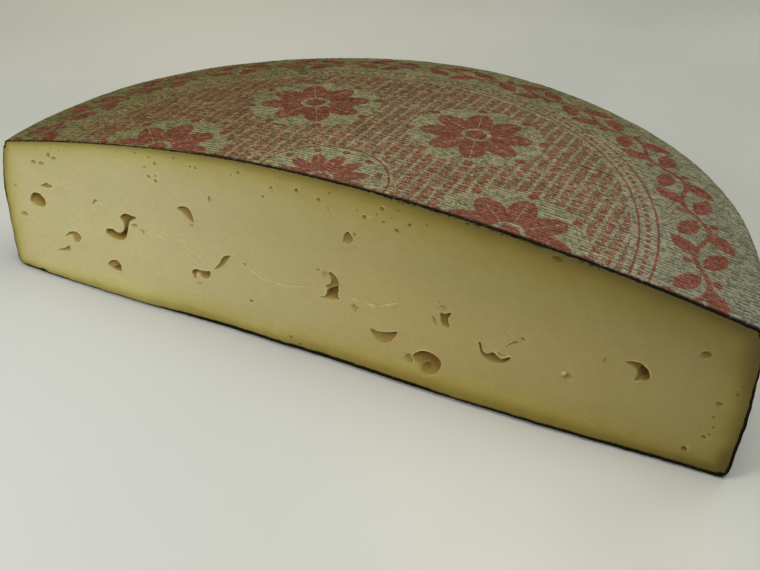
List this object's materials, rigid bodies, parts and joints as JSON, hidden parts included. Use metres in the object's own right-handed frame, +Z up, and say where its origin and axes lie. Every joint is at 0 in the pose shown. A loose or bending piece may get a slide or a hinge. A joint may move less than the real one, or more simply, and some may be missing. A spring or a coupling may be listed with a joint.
{
  "type": "half wheel of alpine cheese",
  "caption": "Half wheel of hard mountain cheese standing on its flat underside: a cut face with round and slit-shaped eyes, a dark rind and a patterned paper label over the domed top.",
  "frame": {"origin": "on the flat underside, under the middle of the half wheel's bounding box", "axes": "+X along the cut, to the right as seen facing the cut; the cut face looks towards -Y; +Z up"},
  "size_m": [0.3208, 0.1596, 0.0839],
  "materials": {
    "cheese": "pale yellow paste with a soft waxy surface, darker olive towards a thin blackish brown rind",
    "label_paper": null
  },
  "bodies": {
    "root": {"cheese_half_wheel": "cheese", "top_label": "label_paper"}
  },
  "joints": []
}
